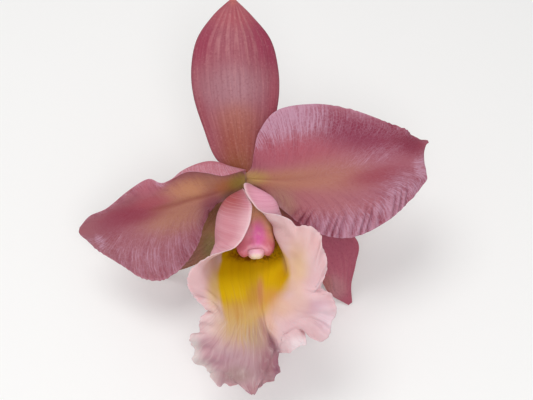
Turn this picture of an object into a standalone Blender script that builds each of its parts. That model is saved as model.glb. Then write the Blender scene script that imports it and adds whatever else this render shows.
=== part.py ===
# Cattleya orchid: one picked flower lying on its back. Metres, +Z up.
# The flower's own frame has u to its right, v up its face and w out of its face, in millimetres.
import math

import bmesh
import bpy
import numpy as np

MM = 0.001

# Pose: the face leans from straight up toward -Y, and the flower's centre lies at this place.
LEAN = math.radians(35)
CENTRE = (-2.87, 6.09, 48.86)

SEPAL_THICKNESS = 1.0
PETAL_THICKNESS = 0.9
LIP_THICKNESS = 0.8

# Each blade is a set of ribs from its base to its tip, at a place across it from -1 to 1.
DORSAL_SEPAL = {
    -1: [(-3.8, 2.4, -2.1), (-12.5, 9.5, -3.0), (-17.0, 22.0, -4.0), (-20.5, 35.0, -4.5),
         (-21.5, 47.0, -4.8), (-18.8, 59.0, -5.2), (-13.0, 69.0, -6.5), (-6.4, 76.6, -10.0)],
    0: [(0.0, 1.8, -2.0), (-1.2, 11.0, -0.6), (-2.4, 23.0, 0.8), (-3.5, 35.0, 1.8),
        (-4.2, 47.0, 1.8), (-4.7, 58.0, 0.2), (-5.2, 68.5, -4.0), (-5.7, 77.2, -10.0)],
    1: [(3.8, 2.2, -2.1), (7.5, 9.5, -3.0), (11.0, 22.0, -4.0), (13.5, 35.0, -4.5),
        (13.2, 47.0, -4.8), (10.0, 59.0, -5.2), (2.2, 69.0, -6.5), (-5.0, 76.6, -10.0)],
}
RIGHT_PETAL = {
    -1: [(3.2, -1.6, 0.2), (7.5, -4.5, 0.5), (14.5, -11.0, 1.0), (23.5, -18.5, 3.0), (33.5, -22.5, 6.0),
         (44.5, -22.5, 7.0), (57.0, -16.5, 5.0), (67.5, -7.5, 2.0), (74.5, 2.0, -2.0), (75.8, 15.4, -7.0)],
    0: [(3.5, 0.8, 0.4), (9.0, 0.4, 2.5), (17.0, 0.3, 4.0), (26.0, 1.1, 5.0), (35.5, 2.7, 5.0),
        (45.5, 4.8, 4.0), (55.5, 7.3, 2.0), (65.0, 10.3, -1.0), (71.0, 13.3, -4.0), (76.0, 16.2, -7.0)],
    1: [(3.2, 3.2, 0.6), (2.6, 11.5, 3.0), (5.0, 20.0, 5.0), (12.5, 28.5, 5.5), (27.5, 31.0, 4.0),
        (41.5, 29.5, 2.0), (55.5, 25.0, 0.0), (65.5, 21.5, -3.0), (70.5, 18.0, -5.0), (75.6, 17.1, -7.0)],
}
LEFT_PETAL = {
    -1: [(-3.2, -1.6, 0.2), (-7.0, -4.9, -0.4), (-12.0, -8.6, -1.8), (-15.5, -13.2, -3.5),
         (-18.0, -19.5, -5.0), (-20.5, -26.9, -5.5), (-24.9, -33.9, -4.0), (-32.9, -40.3, -1.0),
         (-41.4, -40.2, 0.0), (-51.1, -35.0, -2.0), (-61.7, -28.6, -6.0), (-69.4, -22.6, -9.0)],
    0: [(-3.4, 0.6, 0.4), (-5.8, -2.3, 1.0), (-9.5, -4.0, 1.5), (-15.5, -6.0, 2.0),
        (-22.8, -7.8, 2.5), (-29.3, -9.8, 2.5), (-36.3, -11.5, 2.0), (-43.7, -12.7, 1.5),
        (-50.7, -13.9, 1.0), (-57.6, -16.4, -1.0), (-64.0, -19.8, -5.0), (-70.2, -21.2, -9.0)],
    0.7: [(-3.2, 2.4, 0.6), (-2.4, 4.2, 4.0), (-6.3, 5.5, 6.0), (-12.4, 7.3, 6.5),
          (-18.4, 6.7, 7.0), (-25.6, 3.5, 7.0), (-33.1, -2.5, 5.0), (-40.4, -2.1, 5.0),
          (-47.0, -6.2, 4.0), (-56.2, -12.3, 0.0), (-64.4, -15.7, -5.0), (-70.0, -20.0, -9.0)],
    1: [(-3.0, 3.0, 0.8), (0.0, 4.4, 6.5), (-3.6, 3.2, 10.0), (-9.3, 1.8, 11.0),
        (-15.7, 3.0, 11.0), (-23.8, 3.4, 9.0), (-33.4, -0.9, 6.0), (-39.6, 0.7, 5.0),
        (-47.8, -4.1, 4.0), (-57.0, -11.1, 0.0), (-64.9, -14.4, -5.0), (-69.8, -19.2, -9.0)],
}
RIGHT_LATERAL_SEPAL = {
    -1: [(0.8, -4.6, -1.7), (6.5, -13.2, -4.2), (13.2, -22.0, -7.0), (20.8, -29.6, -10.0),
         (27.2, -36.2, -13.0), (32.1, -42.8, -17.0), (35.7, -48.3, -20.0), (43.9, -53.2, -22.0)],
    0: [(2.8, -3.4, -1.7), (10.7, -9.0, -3.5), (19.8, -16.1, -5.0), (28.7, -24.1, -8.0),
        (35.2, -31.8, -11.5), (38.4, -39.7, -15.5), (39.5, -46.5, -19.0), (44.6, -52.6, -22.0)],
    1: [(4.6, -1.4, -1.7), (13.1, -5.3, -3.0), (24.0, -11.1, -5.5), (34.5, -18.7, -8.0),
        (41.9, -26.3, -11.0), (44.3, -35.0, -15.0), (43.2, -43.9, -19.0), (45.2, -52.0, -22.0)],
}
LEFT_LATERAL_SEPAL = {
    -1: [(-4.6, -1.4, -1.7), (-10.4, -6.1, -4.3), (-18.2, -11.1, -8.5), (-25.3, -17.1, -13.0),
         (-32.2, -24.1, -19.0), (-38.0, -31.3, -25.0), (-43.4, -38.9, -30.7)],
    0: [(-2.8, -3.4, -1.7), (-6.3, -11.1, -4.5), (-12.7, -18.7, -8.0), (-19.7, -25.2, -13.0),
        (-27.5, -31.0, -19.0), (-35.4, -35.7, -25.0), (-43.6, -39.8, -30.7)],
    1: [(-0.8, -4.6, -1.7), (-2.2, -15.3, -5.2), (-7.3, -24.6, -9.0), (-14.3, -30.7, -14.0),
        (-22.8, -35.8, -20.0), (-32.9, -39.2, -26.0), (-43.4, -40.8, -30.7)],
}
# The lip's floor runs under the column, and its side lobes roll up and over the column as a tube.
LIP = {
    -1: [(-1.4, -3.5, 1.6), (0.4, -5.2, 11.5), (2.5, -10.5, 18.0), (2.0, -16.3, 23.0), (0.0, -23.0, 28.0),
         (-6.5, -28.5, 31.5), (-15.5, -30.5, 32.5), (-21.5, -37.0, 31.0), (-18.5, -46.0, 30.0),
         (-14.2, -51.0, 31.0), (-20.5, -61.0, 29.0), (-17.8, -69.0, 27.0), (-11.0, -77.5, 24.0),
         (1.6, -82.8, 22.5)],
    -0.72: [(-1.0, -4.1, 0.9), (-6.3, -6.3, 8.8), (-9.0, -11.3, 13.5), (-9.4, -16.7, 18.0),
            (-9.3, -22.4, 22.0), (-12.0, -28.5, 25.5), (-15.0, -34.5, 28.5), (-16.0, -40.5, 31.0),
            (-14.5, -47.5, 32.0), (-13.5, -54.0, 32.5), (-13.5, -60.5, 32.0), (-13.0, -67.0, 30.0),
            (-8.5, -75.0, 26.0), (2.0, -82.8, 22.5)],
    -0.42: [(0.2, -4.8, -0.1), (-7.0, -9.0, 2.5), (-10.1, -15.2, 5.8), (-11.1, -21.3, 9.3),
            (-11.1, -27.0, 13.0), (-11.3, -32.5, 17.5), (-10.5, -38.0, 22.0), (-9.0, -44.0, 26.0),
            (-8.0, -50.0, 29.5), (-7.0, -56.0, 31.5), (-6.5, -62.0, 31.5), (-5.5, -68.5, 30.0),
            (-2.5, -75.5, 26.5), (2.4, -82.8, 22.5)],
    0: [(1.8, -5.0, -0.4), (1.9, -9.0, -0.2), (2.1, -15.0, 0.2), (2.5, -21.0, 2.0), (3.0, -27.0, 6.0),
        (3.4, -32.5, 11.0), (4.0, -38.5, 16.5), (4.8, -45.0, 22.0), (5.8, -51.0, 26.0),
        (6.0, -57.5, 28.5), (5.5, -64.0, 29.5), (4.6, -70.5, 28.5), (3.6, -77.0, 25.5), (3.0, -82.9, 22.5)],
    0.42: [(3.4, -4.8, -0.1), (10.8, -9.0, 2.5), (14.3, -15.2, 5.8), (16.1, -21.3, 9.3),
           (17.1, -27.0, 13.0), (18.0, -32.5, 17.5), (18.5, -38.0, 22.0), (18.5, -44.0, 26.0),
           (17.5, -50.0, 29.5), (16.0, -56.0, 31.5), (14.0, -62.0, 31.5), (11.5, -68.5, 30.0),
           (8.2, -75.5, 26.5), (3.6, -82.8, 22.5)],
    0.72: [(5.0, -4.3, 0.8), (10.1, -6.3, 8.8), (13.1, -11.3, 13.5), (15.6, -16.0, 18.0),
           (18.5, -22.0, 22.0), (22.0, -28.0, 26.0), (24.5, -34.0, 29.0), (25.5, -40.5, 31.0),
           (25.5, -47.0, 32.0), (23.5, -54.0, 32.5), (20.0, -60.5, 32.0), (15.5, -67.5, 30.0),
           (10.5, -75.0, 26.0), (4.0, -82.8, 22.5)],
    1: [(5.6, -3.8, 1.7), (1.6, -3.6, 14.2), (4.0, -9.8, 21.0), (9.0, -12.8, 25.5), (16.0, -14.3, 28.5),
        (22.6, -17.7, 30.0), (29.0, -21.4, 31.0), (31.0, -29.7, 32.0), (29.7, -38.7, 32.0),
        (34.5, -48.0, 31.0), (30.5, -60.0, 30.0), (17.4, -65.4, 28.0), (13.2, -74.0, 25.0),
        (4.4, -82.8, 22.5)],
}

# Column: a rod from its foot to its broad end, which the anther cap closes.
COLUMN_FOOT = np.array((1.8, -0.4, 0.2))
COLUMN_END = np.array((4.4, -27.8, 18.4))
COLUMN_HALF_WIDTHS = [0.0, 2.3, 2.7, 3.5, 4.4, 5.6, 6.9, 7.2, 0.0]
COLUMN_HALF_DEPTHS = [0.0, 2.0, 2.3, 2.7, 3.0, 3.2, 3.4, 3.2, 0.0]
CAP_SIZE = (3.8, 2.8, 2.9)
CAP_WALL = 0.55
POLLINIUM_SIZE = (0.62, 0.5, 0.72)
POLLINIUM_SPACING = (1.6, 1.3)

# Ovary and pedicel: a tube with a broad top, its radius at each point.
STALK = [((0.5, -0.5, -2.8), 3.7), ((0.5, -0.7, -4.7), 3.4), ((0.6, -1.2, -9.0), 3.0), ((0.3, -2.5, -17.0), 2.9),
         ((0.0, -4.5, -26.0), 2.4), ((-0.5, -7.0, -36.0), 1.9), ((-1.0, -9.6, -45.0), 1.9),
         ((-1.2, -11.2, -50.9), 2.2)]


def start_scene():
    for old in list(bpy.data.objects):
        bpy.data.objects.remove(old, do_unlink=True)
    group = bpy.data.collections.new("cattleya_orchid")
    bpy.context.scene.collection.children.link(group)
    pose = bpy.data.objects.new("flower_pose", None)
    pose.location = [value * MM for value in CENTRE]
    pose.rotation_euler.x = LEAN
    group.objects.link(pose)
    return group, pose


def material(name, colour, roughness):
    made = bpy.data.materials.new(name)
    made.use_nodes = True
    shader = made.node_tree.nodes["Principled BSDF"]
    shader.inputs["Base Color"].default_value = (*colour, 1.0)
    shader.inputs["Roughness"].default_value = roughness
    made.diffuse_color = (*colour, 1.0)
    return made


def flow(points, places):
    # Catmull-Rom curve through evenly spaced points, read at places from 0 to 1.
    points = np.asarray(points, float)
    before = 2 * points[:1] - points[1:2]
    after = 2 * points[-1:] - points[-2:-1]
    padded = np.concatenate([before, points, after])
    steps = np.clip(places, 0, 1) * (len(points) - 1)
    first = np.minimum(steps.astype(int), len(points) - 2)
    part = (steps - first)[:, None]
    a, b, c, d = (padded[first + k] for k in range(4))
    return b + 0.5 * part * (c - a + part * (2 * a - 5 * b + 4 * c - d + part * (3 * (b - c) + d - a)))


def across_ribs(lines, knots, place):
    # Cubic through the ribs' points on one cross-line, for any spacing of the ribs.
    slopes = np.diff(lines, axis=0) / np.diff(knots)[:, None, None]
    spans = np.diff(knots)
    tangents = np.empty_like(lines)
    tangents[0], tangents[-1] = slopes[0], slopes[-1]
    for i in range(1, len(knots) - 1):
        near, far = spans[i - 1], spans[i]
        tangents[i] = (slopes[i - 1] * far + slopes[i] * near) / (near + far)
    i = min(int(np.searchsorted(knots, place, side="right")) - 1, len(knots) - 2)
    x = (place - knots[i]) / spans[i]
    return (
        lines[i] * (2 * x**3 - 3 * x**2 + 1)
        + tangents[i] * spans[i] * (x**3 - 2 * x**2 + x)
        + lines[i + 1] * (-2 * x**3 + 3 * x**2)
        + tangents[i + 1] * spans[i] * (x**3 - x**2)
    )


def add_piece(name, mesh, look, thickness=0.0):
    piece = bpy.data.objects.new(name, mesh)
    GROUP.objects.link(piece)
    piece.parent = POSE
    mesh.materials.append(look)
    if thickness:
        solid = piece.modifiers.new("thickness", "SOLIDIFY")
        solid.thickness = thickness * MM
        solid.offset = 0.0
        solid.use_even_offset = False
    return piece


def add_blade(name, ribs, rows, columns, thickness, look):
    # A flat grid is laid over the ribs: rows run along the blade, columns across it.
    grid = bmesh.new()
    bmesh.ops.create_grid(grid, x_segments=rows, y_segments=columns, size=1.0)
    grid.verts.ensure_lookup_table()
    knots = np.array(list(ribs), float)
    spots = np.array([(vert.co.x * 0.5 + 0.5, vert.co.y) for vert in grid.verts])
    lines = np.array([flow(points, spots[:, 0]) for points in ribs.values()])
    for index, vert in enumerate(grid.verts):
        vert.co = across_ribs(lines[:, index:index + 1], knots, spots[index, 1])[0] * MM
    mesh = bpy.data.meshes.new(name)
    grid.to_mesh(mesh)
    grid.free()
    return add_piece(name, mesh, look, thickness)


def column_frame():
    along = COLUMN_END - COLUMN_FOOT
    along /= np.linalg.norm(along)
    side = np.array((1.0, 0.0, 0.0))
    side -= along * side.dot(along)
    side /= np.linalg.norm(side)
    return side, np.cross(along, side), along


def add_rounded(name, segments, rings, shape, look):
    ball = bmesh.new()
    bmesh.ops.create_uvsphere(ball, u_segments=segments, v_segments=rings, radius=1.0)
    for vert in ball.verts:
        vert.co = [value * MM for value in shape(vert.co)]
    mesh = bpy.data.meshes.new(name)
    ball.to_mesh(mesh)
    ball.free()
    return add_piece(name, mesh, look)


def add_column(look):
    side, out, _ = column_frame()

    def shape(spot):
        place = np.array([0.5 + 0.5 * spot.z])
        girth = math.hypot(spot.x, spot.y)
        full = np.array((flow(np.array(COLUMN_HALF_WIDTHS)[:, None], place)[0, 0],
                         flow(np.array(COLUMN_HALF_DEPTHS)[:, None], place)[0, 0]))
        ring = np.array((spot.x, spot.y)) / girth if girth > 1e-6 else np.zeros(2)
        centre = COLUMN_FOOT + (COLUMN_END - COLUMN_FOOT) * place[0]
        return centre + side * ring[0] * full[0] + out * ring[1] * full[1]

    return add_rounded("column", 20, 18, shape, look)


def add_anther_cap(look):
    # A hood over the column's end, open toward the column.
    side, out, along = column_frame()
    seat = COLUMN_END + along * 0.35 + out * 0.2
    hood = bmesh.new()
    bmesh.ops.create_uvsphere(hood, u_segments=20, v_segments=12, radius=1.0)
    below = [vert for vert in hood.verts if vert.co.z < -0.01]
    bmesh.ops.delete(hood, geom=below, context="VERTS")
    for vert in hood.verts:
        spot = side * vert.co.x * CAP_SIZE[0] + out * vert.co.y * CAP_SIZE[1] + along * vert.co.z * CAP_SIZE[2]
        vert.co = [value * MM for value in seat + spot]
    mesh = bpy.data.meshes.new("anther_cap")
    hood.to_mesh(mesh)
    hood.free()
    return add_piece("anther_cap", mesh, look, CAP_WALL)


def add_pollinium(number, look):
    # Two rows of two inside the hood.
    side, out, along = column_frame()
    column, row = (number - 1) % 2 - 0.5, (number - 1) // 2 - 0.5
    centre = COLUMN_END + along * 1.25 + side * column * POLLINIUM_SPACING[0] + out * (0.2 + row * POLLINIUM_SPACING[1])

    def shape(spot):
        return (centre + side * spot.x * POLLINIUM_SIZE[0] + out * spot.y * POLLINIUM_SIZE[1]
                + along * spot.z * POLLINIUM_SIZE[2])

    return add_rounded(f"pollinium_{number}", 10, 6, shape, look)


def add_stalk(look):
    path = bpy.data.curves.new("ovary_and_pedicel", "CURVE")
    path.dimensions = "3D"
    path.resolution_u = 2
    path.bevel_depth = MM
    path.bevel_resolution = 3
    path.use_fill_caps = True
    line = path.splines.new("NURBS")
    line.points.add(len(STALK) - 1)
    line.order_u = 3
    line.use_endpoint_u = True
    for point, (place, radius) in zip(line.points, STALK):
        point.co = (*[value * MM for value in place], 1.0)
        point.radius = radius
    return add_piece("ovary_and_pedicel", path, look)


GROUP, POSE = start_scene()
SEPAL_LOOK = material("sepal", (0.40, 0.13, 0.15), 0.5)
PETAL_LOOK = material("petal", (0.42, 0.13, 0.18), 0.5)
LIP_LOOK = material("lip", (0.62, 0.36, 0.38), 0.5)
COLUMN_LOOK = material("column", (0.60, 0.20, 0.32), 0.45)
CAP_LOOK = material("anther_cap", (0.78, 0.62, 0.55), 0.45)
POLLEN_LOOK = material("pollinium", (0.75, 0.50, 0.08), 0.4)
STALK_LOOK = material("stalk", (0.30, 0.34, 0.12), 0.5)

add_blade("dorsal_sepal", DORSAL_SEPAL, 21, 8, SEPAL_THICKNESS, SEPAL_LOOK)
add_blade("left_lateral_sepal", LEFT_LATERAL_SEPAL, 19, 7, SEPAL_THICKNESS, SEPAL_LOOK)
add_blade("right_lateral_sepal", RIGHT_LATERAL_SEPAL, 19, 7, SEPAL_THICKNESS, SEPAL_LOOK)
add_blade("left_petal", LEFT_PETAL, 25, 12, PETAL_THICKNESS, PETAL_LOOK)
add_blade("right_petal", RIGHT_PETAL, 23, 10, PETAL_THICKNESS, PETAL_LOOK)
add_blade("lip", LIP, 33, 22, LIP_THICKNESS, LIP_LOOK)
add_column(COLUMN_LOOK)
add_anther_cap(CAP_LOOK)
for pollinium in (1, 2, 3, 4):
    add_pollinium(pollinium, POLLEN_LOOK)
add_stalk(STALK_LOOK)
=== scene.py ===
import math

import bmesh
import bpy
import numpy as np
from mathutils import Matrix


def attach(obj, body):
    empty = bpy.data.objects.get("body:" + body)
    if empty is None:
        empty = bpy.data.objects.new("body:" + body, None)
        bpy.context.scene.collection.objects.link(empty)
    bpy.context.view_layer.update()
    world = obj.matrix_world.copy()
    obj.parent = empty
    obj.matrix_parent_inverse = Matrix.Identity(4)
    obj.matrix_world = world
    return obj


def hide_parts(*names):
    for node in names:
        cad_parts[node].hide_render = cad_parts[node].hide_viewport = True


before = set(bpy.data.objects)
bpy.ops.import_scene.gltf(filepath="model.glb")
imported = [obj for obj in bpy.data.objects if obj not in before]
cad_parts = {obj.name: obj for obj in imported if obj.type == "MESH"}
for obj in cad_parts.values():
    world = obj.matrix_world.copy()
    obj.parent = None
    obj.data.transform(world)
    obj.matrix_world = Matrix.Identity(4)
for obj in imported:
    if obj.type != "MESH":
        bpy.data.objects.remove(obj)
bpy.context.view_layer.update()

mm = 0.001
picked = {"lean": math.radians(35), "centre": (-2.87, 6.09, 48.86)}  # as the CAD lays the flower down


# The flower's own frame: u to its right, v up its face, w out of its face, in millimetres
def toWorld(points):
    u, v, w = np.moveaxis(np.asarray(points, float), -1, 0)
    cosLean, sinLean = math.cos(picked["lean"]), math.sin(picked["lean"])
    x, y, z = picked["centre"]
    return np.stack([u + x, v * cosLean - w * sinLean + y, v * sinLean + w * cosLean + z], -1) * mm


def smooth(low, high, value):
    x = np.clip((value - low) / (high - low), 0, 1)
    return x * x * (3 - 2 * x)


def window(value, start, full, fade, end):  # rises from start to full, falls from fade to end
    return smooth(start, full, value) * smooth(end, fade, value)


def hump(value, width):  # 1 at nought, gone a few widths away
    return np.exp(-(value / width) ** 2)


def hermite(knots, lines, place):  # lines[knot, point], joined smoothly across their knots
    spans = np.diff(knots)
    slopes = np.diff(lines, axis=0) / spans[:, None, None]
    tangents = np.empty_like(lines)
    tangents[0], tangents[-1] = slopes[0], slopes[-1]
    for i in range(1, len(knots) - 1):
        tangents[i] = (slopes[i - 1] * spans[i] + slopes[i] * spans[i - 1]) / (spans[i - 1] + spans[i])
    i = np.clip(np.searchsorted(knots, place, side="right") - 1, 0, len(knots) - 2)
    n = np.arange(len(place)) if lines.shape[1] > 1 else 0
    x = ((place - knots[i]) / spans[i])[:, None]
    h = spans[i][:, None]
    return (
        lines[i, n] * (2 * x**3 - 3 * x**2 + 1) + tangents[i, n] * h * (x**3 - 2 * x**2 + x)
        + lines[i + 1, n] * (3 * x**2 - 2 * x**3) + tangents[i + 1, n] * h * (x**3 - x**2)
    )


def flow(line, places):  # a curve through points: evenly spaced in a list, or at a dictionary's keys
    keyed = isinstance(line, dict)
    knots = np.array(list(line), float) if keyed else np.linspace(0, 1, len(line))
    points = np.array(list(line.values()) if keyed else line, float)
    return hermite(knots, points.reshape(len(points), 1, -1), places)


def profile(values, places):  # a size that changes along a piece
    return flow(values, places)[:, 0]


def spread(ribs, along, across):  # a surface through ribs at any places across
    lines = np.array([flow(rib, along) for rib in ribs.values()])
    return hermite(np.array(list(ribs), float), lines, across)


def ripple(place, count, drift=0):  # uneven waves
    turns = math.tau * count * place
    return np.sin(turns + 1.8 * np.sin(0.29 * turns + drift) + drift)


def shade(*colour):  # red, green and blue of 0 to 255 as light
    parts = [value / 255 for value in colour]
    return tuple(part / 12.92 if part <= 0.04 else ((part + 0.055) / 1.055) ** 2.4 for part in parts)


def mix(paint, weight, colour):
    weight = np.reshape(weight, (-1, 1))
    return paint * (1 - weight) + np.array(shade(*colour)) * weight


def spot(u, v, place, reach, turn=0, edge=3):  # 1 at its place, fading out at its reach
    cosTurn, sinTurn = math.cos(math.radians(turn)), math.sin(math.radians(turn))
    x = ((u - place[0]) * cosTurn + (v - place[1]) * sinTurn) / reach[0]
    y = ((v - place[1]) * cosTurn - (u - place[0]) * sinTurn) / reach[1]
    return np.exp(-np.hypot(x, y) ** edge)


def plainPaint(count, ground):
    return np.tile(np.array(shade(*ground)), (count, 1))


# Soft patches over a ground. Each gives its place, reach, strength and colour, then any turn and edge
def brush(points, ground, patches):
    paint = plainPaint(len(points), ground)
    for place, reach, strength, colour, *form in patches:
        paint = mix(paint, strength * spot(points[:, 0], points[:, 1], place, reach, *form), colour)
    return paint


class Wire:  # one socket of a material, with arithmetic
    def __init__(self, board, socket):
        self.board, self.socket = board, socket

    def calc(self, operation, *others):
        return self.board.add("Math", {"operation": operation}, dict(enumerate((self, *others))))

    def __add__(self, other):
        return self.calc("ADD", other)

    __radd__ = __add__

    def __mul__(self, other):
        return self.calc("MULTIPLY", other)

    __rmul__ = __mul__

    def __sub__(self, other):
        return self.calc("SUBTRACT", other)

    def __rsub__(self, other):
        return self.board.add("Math", {"operation": "SUBTRACT"}, {0: other, 1: self})

    def __abs__(self):
        return self.calc("ABSOLUTE")

    def between(self, low, high):  # 0 at low to 1 at high, eased
        return self.board.add("MapRange", {"interpolation_type": "SMOOTHSTEP"},
                              {"Value": self, "From Min": low, "From Max": high})

    def crest(self, middle, width):  # 1 where the value is near the middle
        return 1 - abs(self - middle).between(0, width)


class Board:  # a material and its nodes
    def __init__(self, name):
        self.material = bpy.data.materials.new(name)
        self.material.use_nodes = True
        self.tree = self.material.node_tree
        self.shader = self.tree.nodes["Principled BSDF"]

    def feed(self, socket, value):
        if isinstance(value, Wire):
            self.tree.links.new(value.socket, socket)
        elif isinstance(value, tuple) and socket.type == "RGBA":
            socket.default_value = (*value, 1)
        else:
            socket.default_value = value

    def add(self, kind, settings=None, values=None, out=0):
        node = self.tree.nodes.new("ShaderNode" + kind)
        for key, value in (settings or {}).items():
            setattr(node, key, value)
        for key, value in (values or {}).items():
            self.feed(node.inputs[key], value)
        return Wire(self, node.outputs[out])

    def blend(self, low, high, factor):
        return self.add("Mix", {"data_type": "RGBA"}, {0: factor, 6: low, 7: high}, 2)

    def coat(self, ground, *coats):  # lays colours of 0 to 255 over a ground, each by its own mask
        for colour, mask in coats:
            ground = self.blend(ground, shade(*colour), mask)
        return ground

    def place(self, u, v, w=0):
        return self.add("CombineXYZ", None, {0: u, 1: v, 2: w})

    def noise(self, where, scale, detail, rough=0.5):
        values = {"Vector": where, "Scale": scale, "Detail": detail, "Roughness": rough}
        return self.add("TexNoise", None, values)

    def streaks(self, u, v, detail=2, shift=0, rough=0.5):  # noise drawn out along a blade
        return self.noise(self.place(u, v, shift), 1, detail, rough)

    def grain(self, scale, detail=2):  # noise through the piece itself
        return self.noise(self.add("TexCoord", None, None, 3), scale, detail)

    def attribute(self, name, out):
        return self.add("Attribute", {"attribute_name": name}, None, out)

    def bladePlace(self):  # along 0 to 1, across -1 to 1
        split = self.add("SeparateXYZ", None, {0: self.add("UVMap", {"uv_map": "blade"})})
        return split, Wire(self, split.socket.node.outputs[1]) * 2 - 1

    def finish(self, **values):
        for key, value in values.items():
            self.feed(self.shader.inputs[key.replace("_", " ")], value)
        return self.material


def readPoints(mesh):
    points = np.empty(len(mesh.vertices) * 3)
    mesh.vertices.foreach_get("co", points)
    return points.reshape(-1, 3)


def writePoints(mesh, points):
    mesh.vertices.foreach_set("co", np.ascontiguousarray(points, float).ravel())
    mesh.update()


def writePaint(mesh, name, paint):
    layer = mesh.color_attributes.new(name, "FLOAT_COLOR", "POINT")
    layer.data.foreach_set("color", np.column_stack([paint, np.ones(len(paint))]).ravel())


def writeValue(mesh, name, value):
    mesh.attributes.new(name, "FLOAT", "POINT").data.foreach_set("value", np.asarray(value, float))


def showPiece(name, mesh, node, materials):
    piece = bpy.data.objects.new(name, mesh)
    bpy.context.scene.collection.objects.link(piece)
    mesh.polygons.foreach_set("use_smooth", [True] * len(mesh.polygons))
    for material in materials:
        mesh.materials.append(material)
    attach(piece, "root")
    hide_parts(node)
    print("made", name)
    return piece


sheetwork = {"frayed": 0.06, "depthSteps": 8}  # how far in from the edge it frays, steps in thickness


# One blade: a flat grid laid over its ribs, folded along its own normals, painted and given its thickness
def makeBlade(name, node, blade, materials):
    sheet = bmesh.new()
    bmesh.ops.create_grid(sheet, x_segments=blade["cells"][0], y_segments=blade["cells"][1], size=1.0)
    mesh = bpy.data.meshes.new(name)
    sheet.to_mesh(mesh)
    sheet.free()
    flat = readPoints(mesh)
    along, across = flat[:, 0] * 0.5 + 0.5, flat[:, 1]
    points = spread(blade["ribs"], along, across)
    if "fray" in blade:
        outward = points - spread(blade["ribs"], along, across * (1 - sheetwork["frayed"] / 2))
        outward /= np.maximum(np.linalg.norm(outward, axis=1), 1e-6)[:, None]
        frayed = blade["fray"](along, across) * smooth(1 - sheetwork["frayed"], 1, np.abs(across))
        points = points + outward * frayed[:, None]
    writePoints(mesh, points)
    if sum(normal.vector[2] for normal in mesh.vertex_normals) < 0:
        mesh.flip_normals()
    normals = np.array([normal.vector[:] for normal in mesh.vertex_normals])
    fold = blade["fold"](along, across, points)
    points = points + normals * fold[:, None]
    writePoints(mesh, toWorld(points))
    corners = np.empty(len(mesh.loops), int)
    mesh.loops.foreach_get("vertex_index", corners)
    places = np.column_stack([along, across * 0.5 + 0.5])[corners]
    mesh.uv_layers.new(name="blade").data.foreach_set("uv", places.ravel())
    for layer, paint in blade["paint"](along, across, points).items():
        (writePaint if paint.ndim > 1 else writeValue)(mesh, layer, paint)
    # the fold is kept for the petals' painted shade in its hollows and painted highlight on its crests
    writeValue(mesh, "fold", np.clip(fold, -1, 1))
    piece = showPiece(name, mesh, node, materials)
    depth = smooth(0, blade["taper"], np.minimum(1 - np.abs(across), np.minimum(along, 1 - along) * 2))
    group = piece.vertex_groups.new(name="thickness")
    steps = sheetwork["depthSteps"]
    for step in range(steps + 1):
        group.add(np.flatnonzero(np.round(depth * steps) == step).tolist(), step / steps, "REPLACE")
    solid = piece.modifiers.new("thickness", "SOLIDIFY")
    solid.thickness = blade["thickness"] * mm
    solid.offset = 0
    solid.vertex_group = "thickness"
    solid.thickness_vertex_group = blade["edge"]
    solid.material_offset = 1
    return piece


# One rounded body: a ball drawn out along a centre line
def makeBody(name, node, cells, shape, paint, materials):
    ball = bmesh.new()
    bmesh.ops.create_uvsphere(ball, u_segments=cells[0], v_segments=cells[1], radius=1.0)
    mesh = bpy.data.meshes.new(name)
    ball.to_mesh(mesh)
    ball.free()
    spots = readPoints(mesh)
    along = np.arccos(np.clip(-spots[:, 2], -1, 1)) / math.pi
    girth = np.maximum(np.hypot(spots[:, 0], spots[:, 1]), 1e-9)
    ring = spots[:, :2] / girth[:, None] * (girth > 1e-6)[:, None]
    points = shape(along, ring)
    writePoints(mesh, toWorld(points))
    shell = bmesh.new()
    shell.from_mesh(mesh)
    bmesh.ops.recalc_face_normals(shell, faces=shell.faces)
    shell.to_mesh(mesh)
    shell.free()
    writePaint(mesh, "front", paint(along, ring, points))
    return showPiece(name, mesh, node, materials)


# Living tissue: satin, a little see-through, its veins raised
tissue = {
    "specular": 0.28, "through": 0.28, "reach": 0.9 * mm, "radius": (0.8, 0.5, 0.48),
    "sheen": 0.04, "sheenRough": 0.4, "relief": 0.5 * mm,
}


def finishTissue(board, colour, rough, height, strength):
    relief = {"Strength": strength, "Distance": tissue["relief"], "Height": height}
    return board.finish(
        Base_Color=colour, Roughness=rough, Normal=board.add("Bump", None, relief),
        Specular_IOR_Level=tissue["specular"], Subsurface_Weight=tissue["through"],
        Subsurface_Scale=tissue["reach"], Subsurface_Radius=tissue["radius"],
        Sheen_Weight=tissue["sheen"], Sheen_Roughness=tissue["sheenRough"],
    )


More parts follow.
